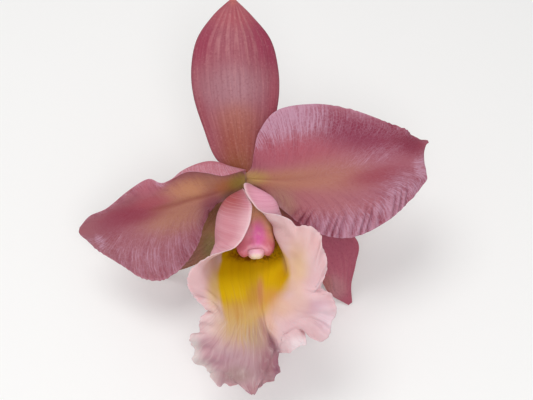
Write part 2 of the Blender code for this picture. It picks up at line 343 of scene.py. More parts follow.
# Sepals: fine veins that run from base to tip, and a few broken pale stripes toward the tip
def sepalMaterial(name, layer, pale, dark, strength):
    board = Board(name)
    along, across = board.bladePlace()
    tint = board.attribute(layer, 0)
    away = abs(across)
    wander = board.streaks(along * 4, across * 2) - 0.5
    lane = across + wander * 0.05
    stripes = (lane * 28.5 + wander * 2).calc("SINE").between(-0.3, 1)
    broken = board.streaks(along * 16, lane * 6, 3).between(0.36, 0.62)
    fine = board.streaks(along * 5, lane * 44, 3)
    veins = board.streaks(along * 2.5, lane * 19)
    cells = board.grain(1100)
    upper = along.between(0.5, 0.72) * (1 - along.between(0.88, 0.97)) * (1 - away.between(0.5, 0.85))
    colour = board.coat(
        tint,
        (pale, stripes * (broken * 0.7 + 0.3) * upper * 0.36 * strength),
        (dark, (1 - veins.between(0.34, 0.5)) * 0.15 * strength),
        (pale, veins.between(0.52, 0.7) * 0.13 * strength),
        (pale, fine.between(0.52, 0.75) * 0.2 * strength),
        (dark, (1 - fine.between(0.28, 0.46)) * 0.17 * strength),
        (pale, (1 - cells.between(0.28, 0.42)) * 0.2),
        (dark, cells.between(0.55, 0.7) * 0.26),
    )
    height = fine * 0.5 + veins * 0.6 + cells * 0.25
    return finishTissue(board, colour, cells * 0.15 + 0.45, height, 0.3)


# Petals: veins leave the midrib and bend out to the margin, palest and netted where the veil is strong
# Painted shade darkens the hollows of the folds and a painted highlight lightens their crests
def petalMaterial(name, layer, pale, dark, strength):
    board = Board(name)
    along, across = board.bladePlace()
    tint = board.attribute(layer, 0)
    fold, veil = board.attribute("fold", 2), board.attribute("veil", 2)
    away = abs(across)
    inner = 1 - away
    wander = board.streaks(along * 5, across * 2) - 0.5
    lean = 0.26 - across.between(-0.1, 0.1) * 0.08
    lane = along - (1 - inner * inner) * lean + wander * 0.02
    strands = board.streaks(lane * 165, across * 3.6, 3)
    bundles = board.streaks(lane * 34, across * 1.8, shift=5)
    netPlace = board.place(lane * 84 + strands * 0.8, across * 15)
    net = board.add("TexVoronoi", {"feature": "DISTANCE_TO_EDGE"}, {"Vector": netPlace, "Scale": 1})
    net = net.crest(0, 0.14)
    cells = board.grain(1000)
    outer = away.between(0.1, 0.7)
    threads = strands.between(0.4, 0.62)
    mottle = board.grain(260) - 0.5
    cover = (veil + (strands - 0.5) * 1.2 + (bundles - 0.5) * 0.8 + mottle * 0.7).between(0.3, 1)
    colour = board.coat(
        tint,
        (dark, (1 - bundles.between(0.32, 0.52)) * (outer * 0.3 + 0.05) * strength),
        # painted shade in the hollows of the folds
        (dark, (0 - fold).between(0.05, 0.7) * 0.6),
        (pale, cover * (threads * 0.34 + 0.4) * strength),
        (pale, threads * (veil * 0.2 + 0.06) * outer * strength),
        (dark, (1 - strands.between(0.28, 0.44)) * outer * 0.3 * strength),
        # painted highlight on the crests of the folds
        (pale, fold.between(0.1, 0.8) * 0.3),
        (pale, net * (veil * 0.45 + 0.05) * strength),
        (dark, cells.between(0.55, 0.75) * 0.18),
    )
    height = strands * 0.6 * outer + net * 0.3 * outer + cells * 0.2
    return finishTissue(board, colour, cells * 0.15 + 0.45, height, 0.35)


sepalFaces = [sepalMaterial("sepalFace", "front", (204, 144, 146), (122, 40, 56), 1),
              sepalMaterial("sepalBack", "back", (205, 165, 160), (150, 84, 88), 0.6)]
lateralFaces = [sepalMaterial("lateralSepalFace", "front", (186, 122, 128), (116, 46, 58), 0.5),
                sepalMaterial("lateralSepalBack", "back", (196, 152, 140), (140, 84, 76), 0.6)]
petalFaces = [petalMaterial("petalFace", "front", (196, 152, 174), (134, 46, 70), 0.9),
              petalMaterial("petalBack", "back", (208, 170, 184), (156, 84, 98), 0.6)]


sepalSheet = {"thickness": 1, "edge": 0.35, "taper": 0.35}  # edge: its share of the thickness
petalSheet = {"thickness": 0.9, "edge": 0.3, "taper": 0.3}

dorsalSepal = {
    "ribs": {
        -1: [(-3.8, 2.4, -2.1), (-12.6, 9.5, -3), (-17.7, 22, -4), (-21.8, 35, -4.5), (-22.8, 47, -4.8),
             (-20.5, 59, -5.2), (-13.9, 69, -6.5), (-6.6, 76.6, -10)],
        0: [(0, 1.8, -2), (-1.2, 11, -0.6), (-2.4, 23, 0.8), (-3.5, 35, 1.8), (-4.2, 47, 1.8),
            (-4.7, 58, 0.2), (-5.2, 68.5, -4), (-5.7, 77.2, -10)],
        1: [(3.8, 2.2, -2.1), (7.5, 9.5, -3), (11, 22, -4), (13.5, 35, -4.5), (13.2, 47, -4.8),
            (10, 59, -5.2), (2.2, 69, -6.5), (-5, 76.6, -10)],
    },
    "cells": (130, 70), **sepalSheet,
    "ridges": 0.08, "ridgeCount": 4.5, "groove": 0.15,
    "ground": (158, 84, 98), "rim": (130, 62, 78), "backTint": (186, 140, 132),
    "patches": [
        ((-4.5, 69.3), (13, 7), 0.7, (172, 82, 92)), ((8.4, 57.5), (6.5, 12), 0.85, (146, 44, 76), 20),
        ((-18, 57.5), (4.5, 10), 0.8, (150, 50, 78), -15), ((-5.7, 38), (14, 10), 0.85, (170, 122, 132)),
        ((11.8, 30), (3.5, 14), 0.7, (158, 70, 86)), ((-18.3, 22), (3.5, 14), 0.7, (154, 72, 84), 10),
        ((-3.6, 25), (9, 7), 0.7, (174, 110, 96)), ((-3.3, 14), (8, 12), 0.9, (156, 82, 62)),
        ((-3, 5), (6, 7), 0.9, (146, 82, 50)), ((-5.6, 77), (2.2, 4), 0.8, (196, 112, 104)),
    ],
}


def foldDorsal(along, across, points):
    ridges = dorsalSepal["ridges"] * np.cos(math.tau * dorsalSepal["ridgeCount"] * across)
    groove = dorsalSepal["groove"] * hump(across, 0.12)
    return ridges * window(along, 0, 0.2, 0.8, 1) - groove * smooth(1, 0.7, along)


def sepalPaint(sepal):
    def paint(along, across, points):
        front = brush(points, sepal["ground"], sepal["patches"])
        if "rim" in sepal:
            front = mix(front, 0.5 * smooth(0.9, 1, np.abs(across)), sepal["rim"])
        return {"front": front, "back": mix(front, 0.5, sepal["backTint"])}
    return paint


dorsalSepal.update(fold=foldDorsal, paint=sepalPaint(dorsalSepal))
makeBlade("dorsalSepal", "dorsal_sepal", dorsalSepal, sepalFaces)

rightPetal = {
    "ribs": {
        -1: {0: (0.2, -1.6, -0.4), 0.11: (7.5, -4.5, 0.5), 0.22: (14.5, -11, 1), 0.33: (23.5, -18.5, 3),
             0.44: (33.5, -22.5, 6), 0.56: (44.5, -22.5, 7), 0.67: (57, -16.5, 5), 0.78: (67.5, -7.5, 2),
             0.86: (72.4, -2, 0), 0.89: (74.7, 1, -1.5), 0.93: (73.6, 5, -3.5), 0.97: (73.2, 11, -5.5),
             0.985: (73.4, 14.6, -6.4), 1: (75.6, 16.4, -7)},
        0: [(0.2, 0.8, -0.2), (9, 0.4, 2.5), (17, 0.3, 4), (26, 1.1, 5), (35.5, 2.7, 5), (45.5, 4.8, 4),
            (55.5, 7.3, 2), (65, 10.3, -1), (71, 13.3, -4), (76, 16.2, -7)],
        1: {0: (0.2, 3.2, 0.2), 0.04: (2.1, 5.2, 1), 0.11: (3.3, 11.5, 3), 0.22: (5.5, 20, 5),
            0.33: (12.9, 28.6, 5.5), 0.44: (27.5, 31.2, 4), 0.56: (41.5, 29.5, 2), 0.67: (55.5, 25, 0),
            0.78: (65.5, 21.5, -3), 0.89: (70.5, 18, -5), 1: (75.6, 17.1, -7)},
    },
    "cells": (220, 120), **petalSheet,
    "frill": 0.85, "frillCount": 26, "sway": 0.7, "groove": 0.25, "frayUp": 0.2, "frayDown": 0.16,
    "ground": (166, 96, 110), "rim": (198, 150, 170), "backTint": (196, 150, 158),
    "patches": [
        ((14.5, 24.5), (20, 7), 0.7, (168, 104, 128), 15, 4), ((17.5, 12.5), (22, 7), 0.9, (170, 78, 94)),
        ((46, 20), (21, 8), 0.95, (136, 46, 74), -12), ((67, 16), (8.5, 5), 0.95, (132, 40, 64), -25),
        ((19, 0.3), (22, 4.6), 0.9, (176, 120, 90), 2), ((3.5, 1.3), (6, 3), 0.9, (182, 146, 84)),
        ((34, 1.5), (17, 8), 0.7, (174, 110, 96), 4), ((54, 2), (13, 3.6), 0.85, (154, 68, 82), 10),
        ((30, -10.5), (22, 6), 0.6, (172, 102, 106), -5), ((43, -18.5), (22, 6), 0.7, (160, 94, 112), 8),
        ((14.5, -9), (7, 6), 0.75, (166, 128, 104), -45), ((64.5, -4.5), (9, 8), 0.7, (158, 96, 114), 45),
    ],
}


def foldRightPetal(along, across, points):
    lower = smooth(-0.45, -1, across)
    upper = smooth(0.6, 1, across) * smooth(0.35, 0.6, along)
    frill = ripple(along - 0.07 * across, rightPetal["frillCount"], 0.6)
    frill = frill * lower * window(along, 0.22, 0.34, 0.72, 0.85)
    sway = ripple(along, 5.5, 1.2) * lower**2 + 0.6 * ripple(along, 6.5, 2.4) * upper
    groove = hump(across, 0.09) * smooth(0.7, 0.3, along)
    fold = rightPetal["frill"] * frill + rightPetal["sway"] * sway - rightPetal["groove"] * groove
    return fold * smooth(1, 0.95, along)


def frayRightPetal(along, across):
    upper = window(along, 0.4, 0.55, 0.86, 0.93) * (across > 0)
    lower = window(along, 0.35, 0.5, 0.8, 0.86) * (across < 0)
    uneven = 0.5 + 0.5 * ripple(along, 5, 2)
    above = rightPetal["frayUp"] * ripple(along, 34, 1) * upper
    below = rightPetal["frayDown"] * ripple(along, 28, 0.3) * lower
    return uneven * (above + below)


def paintRightPetal(along, across, points):
    u, v = points[:, 0], points[:, 1]
    front = brush(points, rightPetal["ground"], rightPetal["patches"])
    rim = smooth(0.95, 1, np.abs(across)) * smooth(0.75, 0.6, along)
    front = mix(front, 0.35 * rim, rightPetal["rim"])
    veil = [
        1.05 * smooth(0.3, 0.75, across) * smooth(0.66, 0.3, along) * smooth(5, 25, v),
        0.36 * smooth(0.3, 0.9, across) * window(along, 0.4, 0.6, 0.8, 0.92),
        0.66 * smooth(-0.3, -0.85, across) * smooth(0.24, 0.42, along),
        0.85 * spot(u, v, (72.5, 5.5), (4.5, 7)), 0.46 * spot(u, v, (52, 10), (16, 4.5), 14),
        0.62 * spot(u, v, (63, -4.5), (11, 8), 35),
    ]
    back = mix(front, 0.5, rightPetal["backTint"])
    return {"front": front, "back": back, "veil": np.max(veil, axis=0)}


rightPetal.update(fold=foldRightPetal, fray=frayRightPetal, paint=paintRightPetal)
makeBlade("rightPetal", "right_petal", rightPetal, petalFaces)

leftPetal = {
    "ribs": {
        -1: [(0.8, -3.6, -1), (-6.4, -6.6, -0.9), (-12, -9.6, -1.8), (-15.5, -13.6, -3.5), (-18, -19.5, -5),
             (-20.5, -26.9, -5.5), (-24.9, -33.9, -4), (-32.9, -40.3, -1), (-41.4, -40.2, 0),
             (-51.1, -35, -2), (-61.7, -28.6, -6), (-69.4, -22.6, -9)],
        0: [(-0.4, 0.6, -0.2), (-5.8, -2.3, 1), (-9.5, -4, 1.5), (-15.5, -6, 2), (-22.8, -7.8, 2.5),
            (-29.3, -9.8, 2.5), (-36.3, -11.5, 2), (-43.7, -12.7, 1.5), (-50.7, -13.9, 1),
            (-57.6, -16.4, -1), (-64, -19.8, -5), (-70.2, -21.2, -9)],
        0.7: [(-0.4, 2.4, 0.2), (-2.4, 4.2, 4), (-6.3, 5.5, 6), (-12.4, 7.3, 6.5), (-18.4, 6.7, 7),
              (-25.6, 3.5, 7), (-33.1, -2.5, 5), (-40.4, -2.1, 5), (-47, -6.2, 4), (-56.2, -12.3, 0),
              (-64.4, -15.7, -5), (-70, -20, -9)],
        1: [(-0.4, 3, 0.8), (0, 4.4, 6.5), (-3.6, 3.2, 10), (-9.3, 1.8, 11), (-15.7, 3, 11), (-23.8, 3.4, 9),
            (-33.4, -0.9, 6), (-39.6, 0.7, 5), (-47.8, -4.1, 4), (-57, -11.1, 0), (-64.9, -14.4, -5),
            (-69.8, -19.2, -9)],
    },
    "cells": (200, 120), **petalSheet,
    "crimp": 0.18, "crimpCount": 38, "sway": 0.35, "groove": 0.35, "frayed": 0.16,
    "ground": (158, 92, 102), "flap": (184, 106, 120), "grooveTint": (150, 88, 50),
    "rim": (212, 160, 174), "backTint": (196, 150, 158),
    "patches": [
        ((-32.5, -34), (17, 6), 0.5, (160, 98, 112)), ((-20.6, -3), (13, 5.5), 0.95, (192, 134, 96), 12),
        ((-28.5, -14), (14, 7.5), 0.9, (176, 122, 98), 15), ((-7.2, -2), (7, 3.4), 0.9, (176, 106, 60), 10),
        ((-2.7, -0.2), (4.8, 3.6), 0.9, (164, 142, 66), 30),
        ((-46, -13.6), (14, 4.6), 0.9, (138, 44, 66), 12), ((-38, -8.5), (8, 3), 0.7, (166, 76, 88), 10),
        # The dark mauve patch at (-14.5, -17.5) is painted shade along the lower right edge, where the petal
        # turns away
        ((-39, -2), (8, 3.6), 0.75, (180, 96, 112), 20), ((-14.5, -17.5), (4.4, 14), 0.9, (136, 66, 82)),
        ((-56, -19), (7, 5), 0.45, (142, 66, 84), 20), ((-6, -8), (3.5, 5), 0.8, (132, 96, 70), 35),
    ],
}


def foldLeftPetal(along, across, points):
    crimp = leftPetal["crimp"] * ripple(along, leftPetal["crimpCount"], 0.4) * smooth(-0.75, -1, across)
    sway = leftPetal["sway"] * ripple(along, 9, 2) * smooth(-0.5, -1, across)
    groove = leftPetal["groove"] * hump(across, 0.08) * window(along, 0.1, 0.25, 0.5, 0.7)
    return (crimp + sway - groove) * window(along, 0, 0.1, 0.95, 1)


def frayLeftPetal(along, across):
    below = window(along, 0.45, 0.55, 0.9, 0.95) * (across < 0)
    return leftPetal["frayed"] * ripple(along, 42, 0.7) * below


def paintLeftPetal(along, across, points):
    u, v = points[:, 0], points[:, 1]
    front = brush(points, leftPetal["ground"], leftPetal["patches"])
    groove = hump(across, 0.07) * window(along, 0.15, 0.3, 0.5, 0.62)
    front = mix(front, 0.45 * groove, leftPetal["grooveTint"])
    turned = smooth(0.55, 0.45, along)  # where the upper edge is turned over as a flap
    front = mix(front, 0.9 * smooth(0.72, 0.8, across) * turned, leftPetal["flap"])
    rim = smooth(0.95, 1, np.abs(across)) * smooth(0.25, 0.4, along)
    front = mix(front, 0.4 * rim, leftPetal["rim"])
    back = mix(front, 0.5, leftPetal["backTint"])
    back = mix(back, 0.9 * smooth(0.5, 0.7, across) * turned, leftPetal["flap"])
    veil = [
        0.4 * smooth(-0.15, -0.6, across) * smooth(0.22, 0.42, along),
        0.4 * smooth(0.5, 0.95, across) * smooth(0.48, 0.6, along),
        0.5 * smooth(0.7, 0.8, across) * turned,
        0.8 * spot(u, v, (-34.5, -1), (3, 1.6)), 0.8 * spot(u, v, (-60.5, -25), (2.6, 4), 30),
    ]
    return {"front": front, "back": back, "veil": np.max(veil, axis=0)}


leftPetal.update(fold=foldLeftPetal, fray=frayLeftPetal, paint=paintLeftPetal)
makeBlade("leftPetal", "left_petal", leftPetal, petalFaces)

leftLateralSepal = {
    "ribs": {
        -1: [(-4.6, -1.4, -1.7), (-10.4, -6.1, -4.3), (-18.2, -11.1, -8.5), (-25.3, -17.1, -13),
             (-32.2, -24.1, -19), (-38, -31.3, -25), (-43.4, -38.9, -30.7)],
        0: [(-2.8, -3.4, -1.7), (-6.3, -11.1, -4.5), (-12.7, -18.7, -8), (-19.7, -25.2, -13),
            (-27.5, -31, -19), (-35.4, -35.7, -25), (-43.6, -39.8, -30.7)],
        1: [(-0.8, -4.6, -1.7), (-2.2, -15.3, -5.2), (-7.3, -24.6, -9), (-14.3, -30.7, -14),
            (-22.8, -35.8, -20), (-32.9, -39.2, -26), (-43.4, -40.8, -30.7)],
    },
    "cells": (110, 60), **sepalSheet, "ground": (150, 108, 74), "backTint": (176, 132, 118),
    "patches": [
        ((-15, -28.5), (3.5, 7), 0.7, (126, 116, 64)), ((-12, -14), (6, 6), 0.8, (118, 74, 46)),
        ((-30, -32), (10, 7), 0.7, (150, 90, 88), 30),
    ],
}
rightLateralSepal = {
    "ribs": {
        -1: [(0.8, -4.6, -1.7), (6.5, -13.2, -4.2), (13.2, -22, -7), (20.8, -29.6, -10), (27.2, -36.2, -13),
             (32.1, -42.8, -17), (35.7, -48.3, -20), (43.9, -53.2, -22)],
        0: [(2.8, -3.4, -1.7), (10.7, -9, -3.5), (19.8, -16.1, -5), (28.7, -24.1, -8), (35.2, -31.8, -11.5),
            (38.4, -39.7, -15.5), (39.5, -46.5, -19), (44.6, -52.6, -22)],
        1: [(4.6, -1.4, -1.7), (13.1, -5.3, -3), (25, -10.5, -5.5), (38, -17, -8), (46.9, -25.5, -11),
            (46.3, -35, -15), (44.8, -43.9, -19), (45.4, -52, -22)],
    },
    "cells": (120, 60), **sepalSheet, "ground": (166, 82, 102), "backTint": (176, 132, 118),
    "patches": [
        ((37, -45), (5, 6), 0.8, (184, 124, 132)), ((38.8, -25), (6, 7), 0.7, (158, 76, 98)),
        ((38, -46), (4.5, 4.5), 0.7, (172, 116, 122)), ((34, -44), (2.5, 5), 0.6, (160, 98, 84)),
        ((10, -11), (10, 9), 0.8, (140, 100, 66)),
    ],
}
lateralSepals = {"groove": 0.45, "ridges": 0.12, "ridgeCount": 4}


def foldLateral(along, across, points):
    ridges = lateralSepals["ridges"] * np.cos(math.tau * lateralSepals["ridgeCount"] * across)
    return (ridges - lateralSepals["groove"] * hump(across, 0.08)) * smooth(1, 0.8, along)


for side, sepal in (("left", leftLateralSepal), ("right", rightLateralSepal)):
    sepal.update(fold=foldLateral, paint=sepalPaint(sepal))
    makeBlade(side + "LateralSepal", side + "_lateral_sepal", sepal, lateralFaces)

lip = {
    "ribs": {
        # the left margin: tube rim, left lobe, notch, then the front lobe's teeth
        -1: {0: (-1.4, -3.5, 1.6), 0.05: (-0.9, -3.4, 7), 0.1: (1.1, -6.2, 13), 0.15: (2.7, -9.8, 18),
             0.2: (2.6, -13.2, 21.5), 0.25: (2, -16.7, 24.5), 0.3: (0.5, -20.4, 27.5),
             0.34: (-1.4, -23.7, 30), 0.38: (-4.5, -26.3, 31.5), 0.42: (-8.6, -27.4, 32.5),
             0.45: (-12.4, -28.7, 33), 0.48: (-16.3, -30.9, 32.5), 0.51: (-19.6, -33.3, 31.5),
             0.54: (-21.3, -36.5, 31.5), 0.57: (-21.6, -39.6, 30.5), 0.6: (-20.5, -42.2, 31),
             0.63: (-18.5, -45.3, 30), 0.66: (-16, -47.5, 31), 0.685: (-13.4, -49.5, 29.5),
             0.7: (-15.1, -50.7, 31), 0.72: (-16.8, -52.9, 32), 0.74: (-17.2, -55.6, 30),
             0.755: (-17, -58.1, 28.5), 0.77: (-20, -58.6, 30.5), 0.785: (-20.7, -60.4, 31),
             0.8: (-20.3, -62.6, 28.5), 0.815: (-19.1, -64.5, 27.5), 0.83: (-19.1, -66.3, 29.5),
             0.845: (-19.9, -68.4, 30), 0.86: (-18.1, -70.6, 27.5), 0.875: (-15.4, -71.1, 28),
             0.89: (-14.4, -73.1, 27), 0.905: (-13.2, -74, 26.5), 0.92: (-12.6, -76.1, 27.5),
             0.935: (-9.5, -79.6, 25.5), 0.945: (-7.9, -78.5, 23.5), 0.957: (-5.4, -79.5, 25),
             0.97: (-1.7, -79.1, 22), 0.983: (0.9, -80.7, 23), 1: (3, -83.2, 23)},
        -0.72: [(-1, -4.1, 0.9), (-6.3, -6.3, 8.8), (-9, -11.3, 13.5), (-9.4, -16.7, 18), (-9.3, -21.8, 22),
                (-12, -27.4, 25.5), (-15, -33.8, 28.5), (-15.8, -39.3, 30.6), (-13.4, -45, 31.4),
                (-10.6, -51.5, 32), (-13, -58.8, 32), (-13, -66.8, 30), (-8, -74.4, 26.3), (2, -82.8, 22.5)],
        -0.42: [(0.2, -4.8, -0.1), (-7, -9, 2.5), (-10.1, -15.2, 5.8), (-11.1, -21.3, 9.3), (-11.1, -27, 13),
                (-11.3, -32.5, 17.5), (-10.5, -38, 22), (-9, -44, 26), (-7.8, -49, 29), (-6.5, -54.8, 31),
                (-6.5, -61.2, 31.4), (-5.5, -68.3, 30), (-2.5, -75.5, 26.5), (2.4, -82.8, 22.5)],
        0: [(1.8, -5, -0.4), (1.9, -9, -0.2), (2.1, -15, 0.2), (2.5, -21, 2), (3, -27, 6), (3.4, -32.5, 11),
            (4, -38.5, 16.5), (4.8, -45, 22), (5.8, -51, 26), (6, -57.5, 28.5), (5.5, -64, 29.5),
            (4.6, -70.5, 28.5), (3.6, -77, 25.5), (3, -82.9, 22.5)],
        0.42: [(3.4, -4.8, -0.1), (10.8, -9, 2.5), (14.3, -15.2, 5.8), (16.1, -21.3, 9.3), (16.6, -27, 13.5),
               (16.6, -32.5, 18.8), (16.2, -38, 23.6), (16.2, -44, 27.4), (16.2, -48, 29.2),
               (14.8, -53.6, 31), (12.6, -59.4, 31.2), (9.8, -66.2, 30), (7, -74.4, 26.4),
               (3.6, -82.8, 22.5)],
        # the crest where the right lobe turns out of the throat
        0.58: [(4.4, -4.6, 0.3), (10.7, -7.6, 5.8), (13.4, -12.8, 10), (12, -17.8, 16), (11.6, -20.8, 20),
               (14.4, -25.6, 22.8), (18.6, -32, 25), (20.6, -39.5, 28), (21, -44.5, 30), (19.4, -51.2, 31.6),
               (16.2, -57.4, 31.8), (11.8, -64.2, 30.4), (8.4, -73.4, 26.6), (3.8, -82.8, 22.5)],
        0.72: [(5, -4.3, 0.8), (10.1, -6.3, 8.8), (12.4, -11.3, 13.8), (9.6, -15.5, 21.2), (14.8, -18.8, 25),
               (19.5, -25.3, 27.5), (24, -32, 29.5), (25.5, -40.5, 31), (25.2, -43.5, 31.4),
               (24.6, -50, 32.3), (20.2, -55.6, 32.4), (13.8, -62, 31), (9.6, -72.4, 27), (4, -82.8, 22.5)],
        # the right margin: tube rim, right lobe, notch, lower right lobe, then the front lobe's side
        1: {0: (5.6, -3.8, 1.7), 0.04: (1.8, -1.4, 8), 0.08: (-0.5, -1.4, 13.5), 0.12: (0.3, -4.9, 17),
            0.16: (2.6, -8.4, 20), 0.2: (5.1, -11.3, 23), 0.24: (8, -12.8, 25.5), 0.28: (11.6, -13.2, 27),
            0.315: (15.1, -14.2, 28.5), 0.345: (17.9, -15.7, 28.5), 0.365: (19.8, -17.8, 28),
            0.385: (22, -17.4, 30.5), 0.41: (25.2, -17.8, 31.5), 0.435: (27.7, -19.5, 30.5),
            0.46: (29.2, -21.6, 31), 0.48: (29.1, -24.4, 33), 0.505: (30.5, -27.5, 31),
            0.53: (31.2, -31.1, 33), 0.555: (31.1, -34.7, 31), 0.58: (29.8, -37.8, 33),
            0.6: (29, -40.8, 30.5), 0.615: (30.2, -41.9, 30), 0.635: (32.3, -42.7, 32.5),
            0.655: (33.9, -45.4, 31), 0.675: (34.7, -48.2, 33), 0.695: (34.5, -51.9, 30.5),
            0.71: (32.7, -54.7, 32), 0.725: (32.9, -57.9, 30), 0.74: (31.2, -60, 32),
            0.755: (28.7, -61.4, 30), 0.77: (25.4, -60.1, 31.5), 0.785: (22.6, -57.4, 29),
            0.795: (23.4, -60.1, 30.5), 0.81: (23.1, -62.8, 29), 0.825: (20, -63.4, 30.5),
            0.84: (17.5, -65.8, 28.5), 0.858: (13.4, -65.7, 30), 0.872: (11.7, -68.3, 26.5),
            0.885: (11.9, -70, 27), 0.9: (13.2, -71, 28.5), 0.915: (13.6, -73.5, 26),
            0.93: (11.8, -75.3, 26.5), 0.945: (11.2, -77.4, 24.5), 0.965: (7.6, -78, 25.5),
            0.982: (4.8, -80.6, 23), 1: (3.4, -83.2, 23)},
    },
    "cells": (300, 120), "thickness": 0.8, "edge": 0.3, "taper": 0.25, "specular": 0.14,
    # where the lower right lobe laps over the front lobe, from the throat down
    "overlap": [(6, -38), (6.2, -43), (7, -49), (9.1, -55.6), (11.8, -61.3), (13.2, -66), (13.8, -70)],
    "overlapRise": 2, "pleats": 0.8, "pleatCount": 12, "frill": 0.35, "frillCount": 27,
    "waves": 0.35, "waveCount": 16, "swell": 0.22, "tubeRibs": 0.04, "tubeRibCount": 78, "teeth": 0.14,
    # the golden throat: how far it reaches to the left and to the right at each height
    "throat": [(-54, -6.5, 6), (-51.6, -7.8, 9), (-46, -9.2, 12.8), (-42.2, -10.2, 16.6),
               (-36.6, -10.8, 17.9), (-33, -10, 17.8), (-30.4, -7.8, 17.4), (-26.9, -3, 14.4),
               (-21.6, -3, 11.4), (-17, -3, 8.6), (-13, -3, 4.5), (-10, -3, 3.5)],
    "inside": (220, 184, 188), "insideRim": (236, 214, 220), "gold": (208, 168, 0),
    "insidePatches": [
        ((-16, -37), (7, 8), 0.7, (208, 168, 170), 0, 4), ((-11, -40.5), (3.2, 7.5), 0.85, (212, 178, 98)),
        ((-15.1, -55.6), (6, 5), 0.8, (228, 202, 204)), ((-1, -56), (10, 9), 0.95, (198, 164, 118)),
        ((4.6, -61.5), (4.4, 8), 0.85, (176, 148, 116)), ((-4, -71.5), (17, 10), 0.9, (182, 144, 152), 0, 4),
        # The mauve patch at (-14.5, -62) is painted shade in a fold of the left lobe
        ((-14.5, -62), (6, 3.4), 0.7, (180, 132, 144), 10),
        ((-10.5, -68.5), (5, 2.6), 0.6, (174, 126, 140), 15), ((-19.5, -65), (3.2, 7), 0.9, (214, 206, 204)),
        ((-15.5, -73.5), (6.5, 3.8), 0.9, (206, 196, 192), -45),
        ((-2.5, -74.5), (6, 4), 0.75, (164, 132, 128)), ((9.5, -71.5), (5, 10), 0.9, (152, 102, 110)),
        ((12.5, -72.5), (1.6, 6), 0.8, (136, 74, 98)), ((3.2, -80.8), (3, 4), 0.8, (172, 122, 130)),
        ((21.2, -22.5), (9, 8), 0.6, (224, 184, 180)), ((20.5, -34.5), (4, 10), 0.8, (226, 190, 146)),
        ((26.2, -40.7), (6, 4), 0.6, (230, 192, 198)), ((25.8, -48.2), (6, 2.4), 0.8, (202, 158, 174), 12),
        ((31, -52.5), (4, 6), 0.8, (232, 210, 220)), ((20.5, -62.5), (5, 3.5), 0.85, (246, 228, 232)),
        ((21.3, -47.5), (4, 3.5), 0.6, (214, 174, 160)), ((12.8, -48), (6, 4.5), 0.7, (222, 178, 144), -15),
        ((8.4, -52.5), (2.6, 7), 0.8, (224, 180, 160), 20),
        # The plum patch at (10.6, -61.8) is painted shadow cast by the lower right lobe where it laps over
        # the front lobe, and the patch at (6.6, -55) is painted shade in the groove beside it
        ((10.6, -61.8), (1.7, 5), 0.9, (132, 80, 94), 20),
        ((6.6, -55), (1.3, 6.5), 0.7, (166, 120, 112), 15),
    ],
    "goldPatches": [
        # The dark band at (3.2, -30.2) is partly the throat's own darker top and partly painted shadow under
        # the anther cap
        ((3.2, -30.2), (9, 2.3), 0.85, (146, 86, 4)), ((11.4, -24.5), (1.6, 4.5), 0.7, (150, 84, 14), 12),
        ((9.5, -35), (5, 5.5), 0.7, (226, 184, 4)), ((-5.5, -41.5), (5, 6), 0.7, (218, 180, 0)),
        # The faint darker strip at (3.2, -38) is painted shade along the midline fold
        ((3.2, -38), (1.8, 6.5), 0.3, (190, 156, 10)), ((15.2, -39.5), (3, 7), 0.6, (214, 164, 16)),
        ((11.5, -46), (6, 4), 0.75, (208, 146, 80)), ((-1.5, -50.5), (9, 4.5), 0.75, (196, 148, 60)),
        ((6, -44), (1.5, 5.5), 0.85, (204, 138, 96)), ((13, -31.5), (3.2, 4), 0.6, (228, 188, 8)),
        # The pale orange patch at (9.5, -18) is the strip's own orange, made much paler as painted light
        # against the shade in the gap beside the column
        ((6, -34.2), (4, 3.2), 0.6, (226, 186, 22)), ((9.5, -18), (4, 9), 0.95, (250, 182, 112), 0, 4),
        ((3.6, -45.5), (3, 4.5), 0.6, (180, 126, 66)),
    ],
    "inks": {"vein": (160, 104, 122), "bloom": (224, 206, 204), "ray": (160, 108, 6),
             "streak": (190, 128, 50), "fan": (214, 184, 90), "speck": (116, 40, 14)},
    "outside": (222, 178, 188), "outsideBand": (238, 196, 204), "outsideRim": (242, 212, 216),
    "outsidePatches": [
        ((-5.7, -7), (10, 8), 1, (172, 86, 86)), ((-7, -21), (9, 9), 0.8, (202, 128, 140)),
        ((8, -6), (8, 9), 0.95, (230, 162, 186)), ((3, -74), (20, 14), 0.85, (170, 122, 136), 0, 4),
    ],
}


def foldLip(along, across, points):
    u, v = points[:, 0], points[:, 1]
    away = np.abs(across)
    calm = 1 - 0.85 * smooth(0.9, 1, away)  # the margin keeps to its keyed places
    drift = np.where(across > 0, 2.1, 0.4)  # the two sides don't match
    overlap = np.array(lip["overlap"])[::-1]
    past = u - np.interp(v, overlap[:, 1], overlap[:, 0])
    rise = 0.5 * smooth(-37, -43, v) + lip["overlapRise"] * smooth(-45, -57, v)
    flap = rise * smooth(-67.5, -60.5, v) * smooth(-1.1, 0.7, past) * (across > -0.2)
    flap = flap * hump(np.maximum(past, 0), 8)
    front = window(along, 0.5, 0.62, 0.965, 1) * calm
    pleats = lip["pleats"] * ripple(along, lip["pleatCount"], drift) * smooth(0.35, 1, away)
    frill = lip["frill"] * ripple(along, lip["frillCount"], drift) * smooth(0.6, 1, away)
    swell = lip["swell"] * np.cos(math.tau * 2.2 * across + 0.8) * smooth(0.66, 0.8, along)
    lobes = window(along, 0.28, 0.42, 0.5, 0.62) * calm
    waves = lip["waves"] * ripple(along, lip["waveCount"], 2.2) * smooth(0.5, 1, away)
    tube = window(along, 0.05, 0.12, 0.3, 0.42) * window(away, 0.35, 0.6, 0.95, 1)
    ribs = lip["tubeRibs"] * np.sin(math.tau * lip["tubeRibCount"] * (along + 0.13 * away))
    return flap + (pleats + frill + swell) * front + waves * lobes + ribs * tube


def frayLip(along, across):
    teeth = lip["teeth"] * (ripple(along, 61, 0.5) + ripple(along, 43, 2))
    return teeth * window(along, 0.33, 0.4, 0.97, 1)


